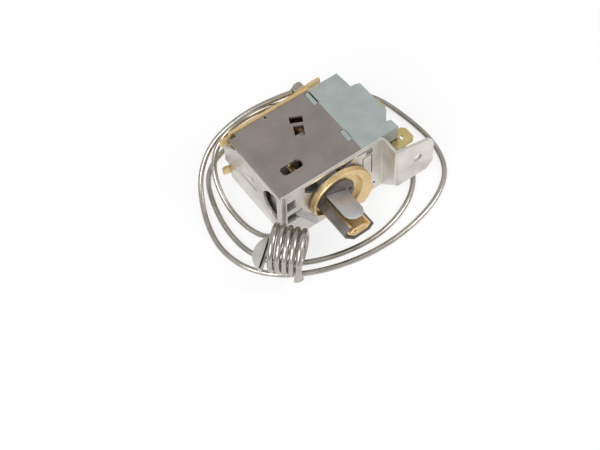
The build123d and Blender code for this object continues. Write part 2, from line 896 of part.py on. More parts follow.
# Bracket of the differential screw, riveted to the end plate
with BuildPart() as screw_bracket:
    with BuildSketch(from_above(differential_at[1] - 2.2)):
        with BuildLine():
            FilletPolyline(
                (frame_sheet, bracket_at - 4.0),
                (frame_sheet, bracket_at + bracket_sheet),
                (differential_at[0] + 3.0, bracket_at + bracket_sheet),
                radius=1.4,
            )
            offset(amount=bracket_sheet, side=Side.RIGHT)
        make_face()
    extrude(amount=4.4)
    with BuildSketch(from_front(bracket_at + bracket_sheet)):
        with Locations(differential_at):
            Circle(differential_radius + running_gap)
    extrude(amount=bracket_sheet, mode=Mode.SUBTRACT)
finish(screw_bracket, "screw_bracket")

# Differential screw: slotted brass screw whose tip stops the main lever
differential_front = 4.6
head_thick = 2.2
with BuildPart() as differential_screw:
    with BuildSketch(from_front(lever_front - 0.4)):
        with Locations(differential_at):
            Circle(differential_radius)
    extrude(amount=lever_front - 0.4 - differential_front)
    with BuildSketch(from_front(differential_front + head_thick)):
        with Locations(differential_at):
            Circle(differential_head)
    extrude(amount=head_thick)
    with BuildSketch(from_front(differential_front + 0.9)):
        with Locations(differential_at):
            Rectangle(2 * differential_head + 1, 0.7)
    extrude(amount=1, mode=Mode.SUBTRACT)
finish(differential_screw, "differential_screw")

# Sensing coil: true helix of half circles that ends in a flattened, sealed tip on the ground
heading = Vector(coil_heading[0], coil_heading[1], 0)
across = Vector(-coil_heading[1], coil_heading[0], 0)
coil_base = Vector(origin_x + coil_start[0], origin_y + coil_start[1], coil_centre_height)
coil_ends, coil_middles = half_turn_path(
    coil_base, heading, across, coil_radius, coil_pitch, 2 * coil_turns - 1
)
coil_last = coil_ends[-1]
crimp_height = 4.0
with BuildPart() as sensing_coil:
    with BuildLine() as coil_line:
        for turn, (centre, rise) in enumerate(coil_middles):
            ThreePointArc(coil_ends[turn], centre + Vector(0, 0, rise), coil_ends[turn + 1])
        Line(coil_last, Vector(coil_last.X, coil_last.Y, crimp_height))
    with BuildSketch(Plane(origin=coil_line.line @ 0, z_dir=coil_line.line % 0)):
        RegularPolygon(coil_tube_radius, tube_sides)
    sweep()
    crimp_plane = Plane(origin=(coil_last.X, coil_last.Y, crimp_height), x_dir=heading, z_dir=(0, 0, -1))
    with BuildSketch(crimp_plane):
        Circle(coil_tube_radius)
    with BuildSketch(crimp_plane.offset(crimp_height - 1.4)):
        RectangleRounded(3.0, 1.1, 0.5)
    loft()
    with BuildSketch(crimp_plane.offset(crimp_height - 1.4)):
        RectangleRounded(3.0, 1.1, 0.5)
    extrude(amount=1.4)
finish(sensing_coil, "sensing_coil")

# Coil clip: folded sheet at the coil's far end
clip_seat = 0.15
clip_plane = Plane(
    origin=coil_base + heading * clip_seat, x_dir=across * -1, z_dir=heading * -1
)
clip_sheet = 0.7
clip_bend = 5.2
with BuildPart() as coil_clip:
    with BuildSketch(clip_plane):
        with BuildLine():
            Polyline((0.8, 1.4), (clip_bend, 2.4), (clip_bend, -6.2), (2.2, -5.2), close=True)
        make_face()
        with Locations((3.4, -0.6)):
            Circle(0.6, mode=Mode.SUBTRACT)
    extrude(amount=clip_sheet)
    with BuildSketch(Plane(origin=clip_plane.origin - across * clip_bend, x_dir=heading * -1, z_dir=across)):
        with BuildLine():
            plate_edge = ThreePointArc((0, 2.4), (4.6, -1.6), (0, -6.2))
            Line(plate_edge @ 1, plate_edge @ 0)
        make_face()
    extrude(amount=clip_sheet)
finish(coil_clip, "coil_clip")

# Capillary: two loops laid round the body, points chosen along its centre line
ground = capillary_radius
route = [
    (neck_end, neck_at - 0.4, nozzle_at[1]),
    (19.0, 35.6, 20.4),
    (8.0, 37.6, 17.2),
    (-1.5, 37.4, 12.6),
    (-8.6, 33.8, 6.6),
    (-13.2, 26.6, 2.2),
    (-16.6, 17.6, ground),
    (-18.0, 8.0, ground),
    (-15.6, -1.6, ground),
    (-9.6, -9.2, ground),
    (-0.4, -15.2, ground),
    (11.6, -19.3, ground),
    (24.0, -20.9, ground),
    (37.0, -19.9, ground),
    (49.4, -16.2, ground),
    (58.4, -9.4, ground),
    (61.8, 1.6, ground),
    (61.0, 14.0, ground),
    (58.4, 27.2, ground),
    (51.4, 36.6, ground),
    (40.0, 41.4, ground),
    (27.0, 42.8, ground),
    (14.0, 42.0, ground),
    (1.6, 40.0, ground),
    (-6.0, 34.6, ground),
    (-9.9, 25.6, ground),
    (-12.3, 14.6, ground),
    (-11.9, 3.6, ground),
    (-7.6, -5.0, ground),
    (0.4, -11.2, ground),
    (11.0, -15.2, ground),
    (24.0, -16.8, ground),
    (36.0, -14.2, ground),
    (45.6, -8.6, ground),
    (51.6, 0.8, ground),
    (53.6, 12.0, ground),
    (51.2, 22.4, 1.6),
    (44.0, 30.4, 5.2),
    (34.4, 33.8, 11.0),
    (24.6, 34.2, 17.2),
    (14.0, 34.0, 20.9),
    (4.0, 33.9, 20.4),
    (-2.6, 33.2, 15.0),
    (-5.8, 30.0, 8.0),
    (-7.4, 22.0, 3.0),
    (-7.0, 12.6, 1.1),
    (-5.07, 6.2, 0.95),
    (-3.57, 2.76, 2.7),
    (-2.5, 0.31, 5.9),
    (coil_ends[0].X - origin_x, coil_ends[0].Y - origin_y, coil_ends[0].Z),
]
points = [Vector(origin_x + x, origin_y + y, z) for x, y, z in route]
radii = []
for before, here, after in zip(points, points[1:], points[2:]):
    turn = math.radians((here - before).get_angle(after - here))
    shorter = min((here - before).length, (after - here).length)
    radii.append(0.45 * shorter / math.tan(turn / 2))
with BuildPart() as capillary_tube:
    with BuildLine() as capillary_line:
        FilletPolyline(*points, radius=radii)
    with BuildSketch(Plane(origin=capillary_line.line @ 0, z_dir=capillary_line.line % 0)):
        RegularPolygon(capillary_radius, tube_sides)
    sweep()
finish(capillary_tube, "capillary_tube")

tube_length = sum(edge.length for edge in capillary_line.edges())
tube_section = tube_sides / 2 * math.sin(2 * math.pi / tube_sides) * capillary_radius**2
print("bend radii", [round(radius, 1) for radius in radii])
print("capillary length", round(tube_length, 2))
print("volume over section times length", round(capillary_tube.part.volume / (tube_section * tube_length), 5))
print("origin shift", origin_x, origin_y)
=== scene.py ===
import math
import bmesh
import bpy
from mathutils import Matrix, Vector


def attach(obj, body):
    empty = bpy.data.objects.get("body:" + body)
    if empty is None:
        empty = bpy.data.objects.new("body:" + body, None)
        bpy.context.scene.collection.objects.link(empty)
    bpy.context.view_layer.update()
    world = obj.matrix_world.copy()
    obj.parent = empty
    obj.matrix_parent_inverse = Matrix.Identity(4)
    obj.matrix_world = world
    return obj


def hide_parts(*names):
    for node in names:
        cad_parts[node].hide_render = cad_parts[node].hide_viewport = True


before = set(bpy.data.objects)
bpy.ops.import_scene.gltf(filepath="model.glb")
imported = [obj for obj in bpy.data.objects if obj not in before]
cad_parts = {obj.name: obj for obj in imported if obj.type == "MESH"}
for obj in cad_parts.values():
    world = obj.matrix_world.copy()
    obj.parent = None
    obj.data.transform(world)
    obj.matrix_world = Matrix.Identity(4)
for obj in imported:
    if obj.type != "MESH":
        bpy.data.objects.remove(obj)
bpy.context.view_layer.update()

mm = 0.001

# Folded frame: 1 mm zinc-plated strip that runs round the end and the front of the body and out to
# the mounting ear. The plating is pale and slightly warm, with soft rolling marks and dull patches,
# and its sheared edges are a little rounded.


class Wire:
    """One output of a material's node; arithmetic on it adds Math nodes."""

    def __init__(self, tree, socket=None):
        self.tree = tree
        self.socket = socket

    def node(self, kind, settings=None, output=0, **values):
        """Add a node, set it up, feed its named sockets and return one of its outputs."""
        made = self.tree.nodes.new(kind)
        for name, value in (settings or {}).items():
            if name == "stops":
                ramp = made.color_ramp
                while len(ramp.elements) < len(value):
                    ramp.elements.new(0.5)
                for stop, (place, colour) in zip(ramp.elements, value):
                    stop.position = place
                    stop.color = colour if len(colour) == 4 else (*colour, 1)
            else:
                setattr(made, name, value)
        for name, value in values.items():
            key = int(name[1:]) if name[0] == "_" else name.replace("_", " ")
            self.feed(made.inputs[key], value)
        return Wire(self.tree, made.outputs[output])

    def feed(self, target, value):
        """Link a wire to a socket, or set the socket to a plain value."""
        if isinstance(value, Wire):
            self.tree.links.new(value.socket, target)
        elif isinstance(value, (tuple, list)) and len(value) == 3 and target.type == "RGBA":
            target.default_value = (*value, 1)
        else:
            target.default_value = value

    def math(self, operation, *values):
        """One Math node on these values."""
        sockets = {f"_{place}": value for place, value in enumerate(values)}
        return self.node("ShaderNodeMath", {"operation": operation}, **sockets)

    def __add__(self, other):
        return self.math("ADD", self, other)

    def __radd__(self, other):
        return self.math("ADD", other, self)

    def __sub__(self, other):
        return self.math("SUBTRACT", self, other)

    def __rsub__(self, other):
        return self.math("SUBTRACT", other, self)

    def __mul__(self, other):
        return self.math("MULTIPLY", self, other)

    def __rmul__(self, other):
        return self.math("MULTIPLY", other, self)

    def above(self, low, high):
        """0 below low, 1 above high and smooth between."""
        return self.node(
            "ShaderNodeMapRange",
            {"interpolation_type": "SMOOTHSTEP", "clamp": True},
            Value=self, From_Min=low, From_Max=high,
        )

    def blend(self, first, second):
        """Colour that goes from the first to the second as this wire goes from 0 to 1."""
        return self.node("ShaderNodeMix", {"data_type": "RGBA"}, output=2, _0=self, _6=first, _7=second)


def new_finish(name):
    """An empty metal or plastic finish: its material, its shader node and a wire to start from."""
    material = bpy.data.materials.new(name)
    material.use_nodes = True
    tree = material.node_tree
    return material, tree.nodes["Principled BSDF"], Wire(tree)


def marbling(wire, size, detail=3.0, roughness=0.55, stretch=(1, 1, 1)):
    """Cloudy variation whose patches are about this many millimetres across."""
    place = wire.node("ShaderNodeTexCoord", output=3)
    place = wire.node("ShaderNodeMapping", Vector=place, Scale=stretch)
    return wire.node(
        "ShaderNodeTexNoise", Vector=place, Scale=1 / (size * mm), Detail=detail, Roughness=roughness
    )


def plated_metal(name, pale, dull, rough, metal, streak, relief=0.02):
    """Plated sheet: cloudy tone, fine rolling streaks along one axis and small specks."""
    material, shader, wire = new_finish(name)
    clouds = marbling(wire, 9.0)
    fine = marbling(wire, 0.9, detail=5.0)
    streaks = marbling(wire, 0.6, detail=2.0, stretch=streak)
    tone = (clouds * 0.6 + fine * 0.15 + streaks * 0.25).above(0.30, 0.70)
    wire.feed(shader.inputs["Base Color"], tone.blend(dull, pale))
    wire.feed(shader.inputs["Roughness"], rough + (fine - 0.5) * 0.12 + (streaks - 0.5) * 0.08)
    wire.feed(shader.inputs["Metallic"], metal)
    marks = streaks * 0.6 + fine * 0.4
    bump = wire.node("ShaderNodeBump", Height=marks, Strength=0.12, Distance=relief * mm)
    wire.feed(shader.inputs["Normal"], bump)
    return material


def dress(names, material, rounding=0.12):
    """Give CAD pieces their finish and slightly rounded edges."""
    for name in names:
        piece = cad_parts[name]
        piece.data.materials.clear()
        piece.data.materials.append(material)
        edge = piece.modifiers.new("worn edges", "BEVEL")
        edge.width = rounding * mm
        edge.segments = 2
        edge.limit_method = "ANGLE"
        edge.angle_limit = math.radians(35)
        edge.harden_normals = False
        edge.use_clamp_overlap = True


zinc = plated_metal(
    "zinc_steel",
    pale=(0.80, 0.77, 0.72),
    dull=(0.60, 0.57, 0.53),
    rough=0.36,
    metal=0.85,
    streak=(0.15, 0.15, 1.5),
)
dress(["frame", "bottom_web", "screw_bracket", "main_lever", "spindle_bush"], zinc)

# End plate: the end wall of the folded frame, 1 mm zinc-plated steel. Its outline steps back to the
# tail at the rear, and the press has pierced it with the large opening at the front, the long
# slanted slot and two short slots above it.
origin = Vector((-25.25, -9.3, 0.0))
from_body = Matrix.Translation(origin * mm) @ Matrix.Scale(mm, 4)
weld_distance = 0.002 * mm


def plate(shape, outlines, low, high, placing, rounding=0.12, finish=0):
    """Add a flat plate with rounded edges to a mesh.

    The outlines are in millimetres, the plate's own first and then those of its holes.
    """
    sketch = bpy.data.curves.new("sketch", "CURVE")
    sketch.dimensions = "2D"
    sketch.fill_mode = "BOTH"
    sketch.extrude = (high - low) / 2 - rounding
    sketch.bevel_depth = rounding
    sketch.bevel_resolution = 1
    sketch.offset = -rounding
    for outline in outlines:
        line = sketch.splines.new("POLY")
        line.points.add(len(outline) - 1)
        for knot, (along, across) in zip(line.points, outline):
            knot.co = (along, across, 0, 1)
        line.use_cyclic_u = True
    holder = bpy.data.objects.new("sketch", sketch)
    flat = holder.to_mesh()
    flat.transform(placing @ Matrix.Translation((0, 0, (low + high) / 2)))
    ready = len(shape.faces)
    shape.from_mesh(flat)
    shape.faces.ensure_lookup_table()
    for face in shape.faces[ready:]:
        face.material_index = finish
    holder.to_mesh_clear()
    bpy.data.objects.remove(holder)
    bpy.data.curves.remove(sketch)


def new_piece(name, shape, materials):
    """Turn the mesh into an object of the scene."""
    mesh = bpy.data.meshes.new(name)
    shape.to_mesh(mesh)
    shape.free()
    for material in materials:
        mesh.materials.append(material)
    piece = bpy.data.objects.new(name, mesh)
    bpy.context.collection.objects.link(piece)
    return piece


def smooth(piece):
    """Shade a piece smoothly all over."""
    faces = piece.data.polygons
    faces.foreach_set("use_smooth", [True] * len(faces))


def finished(name, shape, materials, node, body, sharp=30):
    """Turn the mesh into a piece that stands for a CAD node and moves with its body."""
    bmesh.ops.remove_doubles(shape, verts=shape.verts, dist=weld_distance)
    bmesh.ops.recalc_face_normals(shape, faces=shape.faces)
    piece = new_piece(name, shape, materials)
    smooth(piece)
    piece.data.set_sharp_from_angle(angle=math.radians(sharp))
    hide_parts(node)
    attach(piece, body)
    return piece


def facing(right, up, out):
    """Matrix from millimetres in a flat drawing of the body to metres in the row."""
    return from_body @ Matrix((right, up, out)).transposed().to_4x4()


def slot_shape(centre, length, width, turned):
    """Round-ended slot about a centre, turned by some degrees."""
    angle = math.radians(turned)
    points = []
    for end, first in ((1, -90), (-1, 90)):
        for step in range(0, 181, 30):
            bend = math.radians(first + step)
            along = end * (length - width) / 2 + width / 2 * math.cos(bend)
            over = width / 2 * math.sin(bend)
            points.append((
                centre[0] + along * math.cos(angle) - over * math.sin(angle),
                centre[1] + along * math.sin(angle) + over * math.cos(angle),
            ))
    return points


def arc(centre, wide, high, angles):
    """Points on an ellipse about a centre, at some angles in degrees."""
    turned = [math.radians(angle) for angle in angles]
    return [(centre[0] + wide * math.cos(turn), centre[1] + high * math.sin(turn)) for turn in turned]


frame_sheet = 1.0
end_outline = [
    (1.25, 3.2), (28.8, 3.2), (28.8, 8.8), (31.7, 9.4),
    (31.7, 16.8), (24.8, 21.6), (24.8, 22.4), (1.25, 22.4),
]
opening_bow = arc((2.7, 14.6), 7.3, 6.3, range(80, -81, -10))
side_opening = [(2.7, 20.6), *opening_bow, (2.7, 8.6)]
long_slot = slot_shape((18.3, 12.2), 9.4, 0.9, 1.5)
rear_slot = slot_shape((23.0, 15.6), 2.4, 0.7, 57)
middle_slot = slot_shape((16.5, 15.9), 2.2, 1.1, 15)
end_face = facing(Vector((0, 1, 0)), Vector((0, 0, 1)), Vector((1, 0, 0)))
shape = bmesh.new()
end_outlines = [end_outline, side_opening, long_slot, rear_slot, middle_slot]
plate(shape, end_outlines, 0, frame_sheet, end_face)
finished("end_plate_piece", shape, [zinc], "end_plate", "base")

# Cover: 0.8 mm steel with a dull grey-brown plating, folded down over the end plate. Its faint
# grain runs along the body and it is smoother than the frame.
cover_finish = plated_metal(
    "cover_steel",
    pale=(0.33, 0.295, 0.27),
    dull=(0.26, 0.232, 0.212),
    rough=0.38,
    metal=0.7,
    streak=(0.2, 1.6, 1.0),
)
dress(["cover"], cover_finish)

# Back plate and inlet dish of the power element: 1.2 mm yellow-chromated steel, with two hooks that
# hold the frame and a raised tab. The film is thin, so its tone shifts between straw and brown.
# A round hole is a slot a hair longer than wide, so that no two of its corners fall together.
chromate = plated_metal(
    "chromate",
    pale=(0.86, 0.66, 0.36),
    dull=(0.68, 0.47, 0.22),
    rough=0.36,
    metal=0.8,
    streak=(1.2, 0.3, 1.2),
)
dress(["inlet_dish"], chromate)
back_outer = -30.2
back_inner = -29.0
screw_hole = 4.8
dish_hole = 6.4
hair = 0.01
back_outline = [
    (1.2, 0), (36.2, 0), (36.2, 25.8), (31.4, 25.8),
    (31.4, 24.5), (1.2, 24.5), (1.2, 22.6), (-1.3, 23.1),
    (-2.4, 22.9), (-2.4, 20.4), (1.2, 19.6), (1.2, 7.6),
    (-1.3, 8.5), (-2.4, 8.3), (-2.4, 5.6), (1.2, 4.6),
]
back_outlines = [
    back_outline,
    slot_shape((9.6, 11.5), screw_hole, screw_hole - hair, 0),
    slot_shape((24.0, 14.0), dish_hole, dish_hole - hair, 0),
]
back_face = facing(Vector((1, 0, 0)), Vector((0, 0, 1)), Vector((0, -1, 0)))
shape = bmesh.new()
plate(shape, back_outlines, back_outer, back_inner, back_face, rounding=0.2)
finished("back_plate_piece", shape, [chromate], "back_plate", "base")

# Nozzle, capillary and sensing coil: drawn tube with a semi-bright nickel skin. The capillary is
# brazed into the nozzle's neck, runs round the body twice and ends in the five turns of the coil.
tube_finish, tube_shader, wire = new_finish("sensor_metal")
haze = marbling(wire, 5.0, detail=2.0)
nickel = haze.above(0.3, 0.7).blend((0.40, 0.38, 0.34), (0.52, 0.49, 0.44))
wire.feed(tube_shader.inputs["Base Color"], nickel)
wire.feed(tube_shader.inputs["Roughness"], 0.27 + (haze - 0.5) * 0.1)
wire.feed(tube_shader.inputs["Metallic"], 1.0)
dress(["nozzle"], tube_finish, rounding=0.1)

capillary_radius = 0.9
route = [
    (28.0, 33.1, 21.2),
    (19.0, 35.6, 20.4),
    (8.0, 37.6, 17.2),
    (-1.5, 37.4, 12.6),
    (-8.6, 33.8, 6.6),
    (-13.2, 26.6, 2.2),
    (-16.6, 17.6, 0.9),
    (-18.0, 8.0, 0.9),
    (-15.6, -1.6, 0.9),
    (-9.6, -9.2, 0.9),
    (-0.4, -15.2, 0.9),
    (11.6, -19.3, 0.9),
    (24.0, -20.9, 0.9),
    (37.0, -19.9, 0.9),
    (49.4, -16.2, 0.9),
    (58.4, -9.4, 0.9),
    (61.8, 1.6, 0.9),
    (61.0, 14.0, 0.9),
    (58.4, 27.2, 0.9),
    (51.4, 36.6, 0.9),
    (40.0, 41.4, 0.9),
    (27.0, 42.8, 0.9),
    (14.0, 42.0, 0.9),
    (1.6, 40.0, 0.9),
    (-6.0, 34.6, 0.9),
    (-9.9, 25.6, 0.9),
    (-12.3, 14.6, 0.9),
    (-11.9, 3.6, 0.9),
    (-7.6, -5.0, 0.9),
    (0.4, -11.2, 0.9),
    (11.0, -15.2, 0.9),
    (24.0, -16.8, 0.9),
    (36.0, -14.2, 0.9),
    (45.6, -8.6, 0.9),
    (51.6, 0.8, 0.9),
    (53.6, 12.0, 0.9),
    (51.2, 22.4, 1.6),
    (44.0, 30.4, 5.2),
    (34.4, 33.8, 11.0),
    (24.6, 34.2, 17.2),
    (14.0, 34.0, 20.9),
    (4.0, 33.9, 20.4),
    (-2.6, 33.2, 15.0),
    (-5.8, 30.0, 8.0),
    (-7.4, 22.0, 3.0),
    (-7.0, 12.6, 1.1),
    (-5.07, 6.2, 0.95),
    (-3.57, 2.76, 2.7),
    (-2.5, 0.31, 5.9),
    (-2.07, -0.66, 9.9),
]
tube_curve = bpy.data.curves.new("capillary", "CURVE")
tube_curve.dimensions = "3D"
tube_curve.bevel_depth = capillary_radius * mm
tube_curve.bevel_resolution = 5
tube_curve.resolution_u = 8
tube_curve.use_fill_caps = True
tube_line = tube_curve.splines.new("NURBS")
tube_line.points.add(len(route) - 1)
for knot, place in zip(tube_line.points, route):
    knot.co = (*((Vector(place) + origin) * mm), 1)
tube_line.order_u = 3
tube_line.use_endpoint_u = True
tube_curve.materials.append(tube_finish)
capillary = bpy.data.objects.new("capillary", tube_curve)
bpy.context.collection.objects.link(capillary)
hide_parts("capillary_tube")
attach(capillary, "base")

# Sensing coil: the tube's far end, 2 mm across and wound in five turns. Its tail hangs down beside
# the last turn and is crimped flat and sealed.
coil_tube_radius = 1.0
coil_radius = 6.9
coil_pitch = 2.25
coil_turns = 5
coil_start = Vector((-7.4, -5.05, 9.9))
coil_heading = Vector((0.636, -0.772, 0.0))
coil_across = Vector((0.772, 0.636, 0.0))
steps_per_half = 16
corners_around = 20
crimp_from = 8.2
crimp_height = 6.2
crimp_tip = 4.7
crimp_sections = [(1.15, 0.85), (1.45, 0.65), (1.6, 0.55), (1.65, 0.55), (1.5, 0.46), (1.2, 0.3)]


def coil_line():
    """Centre line of the coil: half circles that lean half a pitch each, then the straight tail."""
    halves = 2 * coil_turns - 1
    line = []
    for half in range(halves):
        side = 1 if half % 2 == 0 else -1
        first = coil_start + coil_heading * (coil_pitch * half / 2) + coil_across * (side * coil_radius)
        last = coil_start + coil_heading * (coil_pitch * (half + 1) / 2)
        last -= coil_across * (side * coil_radius)
        middle = (first + last) / 2
        arm = first - middle
        for step in range(steps_per_half):
            angle = math.pi * step / steps_per_half
            rise = Vector((0, 0, side * arm.length * math.sin(angle)))
            line.append(middle + arm * math.cos(angle) + rise)
    line.append(last)
    tail = [last.z + (crimp_from - last.z) * share for share in (0.5, 1.0)]
    tail += [crimp_height + 1.2, crimp_height + 0.5, crimp_height]
    tail += [crimp_tip + 0.5, crimp_tip + 0.12, crimp_tip]
    line += [Vector((last.x, last.y, height)) for height in tail]
    return line


def join_rings(shape, rings):
    """Close the surface between each ring of corners and the next."""
    for ring, following in zip(rings, rings[1:]):
        for corner in range(len(ring)):
            nearby = (corner + 1) % len(ring)
            shape.faces.new((ring[corner], ring[nearby], following[nearby], following[corner]))


def swept_tube(name, line, sections, side_hint):
    """Tube through the points of a line; each section is its half width and half thickness there."""
    shape = bmesh.new()
    rings = []
    side = side_hint
    for place, (point, (wide, thick)) in enumerate(zip(line, sections)):
        before = line[max(place - 1, 0)]
        after = line[min(place + 1, len(line) - 1)]
        ahead = (after - before).normalized()
        side = (side - ahead * side.dot(ahead)).normalized()
        up = ahead.cross(side)
        ring = []
        for corner in range(corners_around):
            angle = 2 * math.pi * corner / corners_around
            offset = side * (wide * math.cos(angle)) + up * (thick * math.sin(angle))
            ring.append(shape.verts.new((point + offset + origin) * mm))
        rings.append(ring)
    join_rings(shape, rings)
    shape.faces.new(reversed(rings[0]))
    shape.faces.new(rings[-1])
    bmesh.ops.recalc_face_normals(shape, faces=shape.faces)
    piece = new_piece(name, shape, [tube_finish])
    smooth(piece)
    return piece


coil_points = coil_line()
round_sections = [(coil_tube_radius, coil_tube_radius)] * (len(coil_points) - len(crimp_sections))
coil = swept_tube("coil", coil_points, round_sections + crimp_sections, coil_heading)
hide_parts("sensing_coil")
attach(coil, "base")

# Coil clip: 0.7 mm zinc-plated sheet that keeps the coil's turns together. A flange lies across
# their near end, with a half-round lip folded outwards at its top. It rides on the tube.
clip_sheet = 0.7
flange_from = 1.3
lip_from = 0.3
clip_outline = [(-2.8, 1.0), (9.2, 1.0), (9.2, -1.6), (6.8, -3.4), (-1.2, -3.4), (-2.8, -1.6)]
clip_hole = arc((3.0, -1.4), 0.6, 0.6, range(0, 360, 30))
lip_outline = arc((3.2, -1.3), 5.9, -3.9, range(0, 181, 15))
upwards = Vector((0, 0, 1))
shape = bmesh.new()
clip_place = from_body @ Matrix.Translation(coil_start)
flange_face = Matrix((-coil_across, upwards, -coil_heading)).transposed().to_4x4()
lip_face = Matrix((-coil_across, coil_heading, upwards)).transposed().to_4x4()
plate(shape, [clip_outline, clip_hole], flange_from, flange_from + clip_sheet, clip_place @ flange_face)
plate(shape, [lip_outline], lip_from, lip_from + clip_sheet, clip_place @ lip_face)
clip = finished("clip_piece", shape, [zinc], "coil_clip", "base")

# Follower, posts and main spring: bright unplated steel, turned, punched or coiled, and riveted or
# hooked in place. It is finely scratched by handling.
steel = plated_metal(
    "bright_steel",
    pale=(0.60, 0.60, 0.61),
    dull=(0.46, 0.46, 0.47),
    rough=0.4,
    metal=0.8,
    streak=(1.0, 0.08, 1.0),
    relief=0.003,
)
dress(["follower_lever", "follower_post", "lever_post", "main_spring"], steel)

# Spindle: folded steel. Its hub plate lies in the cam's dish, the flat bright tongue stands above and
# the open trough below, and the neck turns in the bush behind. The hub plate and the trough are given
# a darker copy of the same steel as painted shade, for the shade in the dish and under the tongue.
# It is drawn in directions along the tongue, across it and out of the body.
# Painted shade: a darker copy of the spindle's own steel, for the hub plate and the trough, which lie
# in shade.
steel_painted_shade = plated_metal(
    "steel_painted_shade",
    pale=(0.17, 0.155, 0.145),
    dull=(0.09, 0.08, 0.075),
    rough=0.4,
    metal=0.7,
    streak=(1.0, 0.08, 1.0),
)
spindle_axis = Vector((18.8, 0.0, 11.8))
tilt = math.radians(-20)
along = Vector((math.cos(tilt), 0, math.sin(tilt)))
rise = Vector((-math.sin(tilt), 0, math.cos(tilt)))
outwards = Vector((0, -1, 0))


def placed(first, second, third):
    """Matrix from millimetres in three directions about the spindle's axis to metres in the row."""
    turned = Matrix((first, second, third)).transposed().to_4x4()
    return Matrix.Translation((spindle_axis + origin) * mm) @ Matrix.Scale(mm, 4) @ turned


def disc(centre, radius):
    """Outline of a disc or a round hole."""
    return arc(centre, radius, radius, [22.5 * step for step in range(16)])


section = placed(along, rise, outwards)
plan = placed(along, outwards, -rise)
hub = [
    (-1.6, 7.3), (1.8, 7.1), (5.4, 4.6), (7.0, 1.0), (6.5, -2.6), (2.6, -6.4),
    (-1.8, -6.8), (-6.3, -3.0), (-7.2, -0.4), (-6.7, 2.5),
]
hub_hole = 0.6
hub_back = 2.25
hub_front = 3.05
neck_radius = 3.4
neck_back = -1.6
collar_radius = 4.3
collar_back = -2.4
collar_front = -1.7
tongue = [
    (-5.1, hub_front), (-5.1, 12.4), (-4.3, 13.8), (-2.4, 14.6),
    (0.0, 14.5), (1.9, 13.6), (2.9, 11.8), (2.9, hub_front),
]
tongue_under = 2.0
tongue_top = 2.9
trough_end = 16.0
trough_lap = 0.2
trough = [(-4.9, 0.2), (-6.7, -1.9), (-5.2, -4.1), (-0.8, -6.3), (4.9, -3.9), (5.7, -1.5)]
trough_inside = [(4.8, -1.5), (4.2, -3.2), (-0.8, -5.3), (-4.5, -3.4), (-5.6, -1.8), (-4.1, 0.0)]
shape = bmesh.new()
hub_outlines = [hub, disc((4.8, 2.3), hub_hole), disc((-4.4, -2.7), hub_hole)]
# finish=1 on the hub plate and on the trough below picks the steel with painted shade.
plate(shape, hub_outlines, hub_back, hub_front, section, finish=1)
plate(shape, [tongue], -tongue_top, -tongue_under, plan, rounding=0.3)
trough_from = hub_front - trough_lap
plate(shape, [trough + trough_inside], trough_from, trough_end, section, rounding=0.2, finish=1)
plate(shape, [disc((0, 0), neck_radius)], neck_back, hub_back, section)
plate(shape, [disc((0, 0), collar_radius)], collar_back, collar_front, section)
finished("spindle_piece", shape, [steel, steel_painted_shade], "spindle", "spindle")

# Liner of the trough: a yellow-chromated strip bent into it and held by its spring. Its end is turned
# in, and a small opening is left there.
liner_end = 15.7
turned_back = 14.7
turned_front = 15.6
liner_outside = [
    (-4.7, 0.3), (-5.2, -1.8), (-4.2, -3.2), (-0.8, -5.1), (3.9, -3.1), (4.5, -1.5), (4.1, -0.6),
]
liner_inside = [
    (3.3, -0.8), (3.6, -1.6), (3.2, -2.5), (-0.8, -4.2), (-3.5, -2.7), (-4.3, -1.7), (-3.9, 0.3),
]
turned_end = [(3.6, -1.2), (3.3, -2.8), (-0.8, -4.6), (-3.4, -3.3), (-2.2, -1.6), (0.6, -1.0)]
shape = bmesh.new()
end_opening = [(-1.9, -2.2), (-0.4, -1.7), (-0.9, -3.4)]
plate(shape, [liner_outside + liner_inside], hub_front, liner_end, section, rounding=0.15)
plate(shape, [turned_end, end_opening], turned_back, turned_front, section, rounding=0.2)
finished("liner_piece", shape, [chromate], "cam_tongue", "spindle")

# Cam: a shallow dish drawn into yellow-chromated sheet. Its rim grows with the turn, ends in the
# broad stop lobe and is cut straight below; a flat border is left round the dish on the lobe's side.
rim_least = 9.1
rim_growth = 4.8
lobe_radius = 15.2
rim_width = 0.75
dish_radius = 9.9
cam_bore = 3.45
cam_back = 1.45
dish_floor = 2.25
rim_front = 3.65
cam_rim = []
for angle in range(200, -20, -5):
    radius = rim_least + rim_growth * (max(195 - angle, 0) / 214) ** 1.6
    cam_rim += arc((0, 0), radius, radius, [angle])
cam_rim += arc((0, 0), lobe_radius, lobe_radius, range(-21, -47, -5))
cam_rim += [(9.3, -10.6), (5.2, -9.1), (1.0, -7.6), (-1.8, -6.8), (-4.6, -6.0)]


def cam_ring(depth, inset, border=0.0, widest=math.inf):
    """The rim's corners at a depth, drawn in by an inset from the border or from the widest reach."""
    ring = []
    for corner in map(Vector, cam_rim):
        reach = min(corner.length - border, widest) - inset
        ring.append((*(corner * (reach / corner.length)), depth))
    return ring


rim_profile = [
    (cam_back, 0.1),
    (cam_back + 0.1, 0.0),
    (rim_front - 0.25, 0.0),
    (rim_front - 0.08, 0.08),
    (rim_front, 0.25),
]
dish_profile = [
    (rim_front, 0.0),
    (rim_front - 0.08, 0.18),
    (rim_front - 0.3, 0.3),
    (dish_floor + 0.25, 0.7),
    (dish_floor, 0.95),
]
cam_rings = [cam_ring(depth, inset) for depth, inset in rim_profile]
cam_rings += [cam_ring(depth, inset, rim_width, dish_radius) for depth, inset in dish_profile]
cam_rings += [cam_ring(depth, 0, widest=cam_bore) for depth in (dish_floor, cam_back)]
upright = placed(Vector((1, 0, 0)), upwards, outwards)
shape = bmesh.new()
rings = [[shape.verts.new(upright @ Vector(point)) for point in ring] for ring in cam_rings]
join_rings(shape, rings + rings[:1])
finished("cam_piece", shape, [chromate], "cam", "spindle", sharp=25)

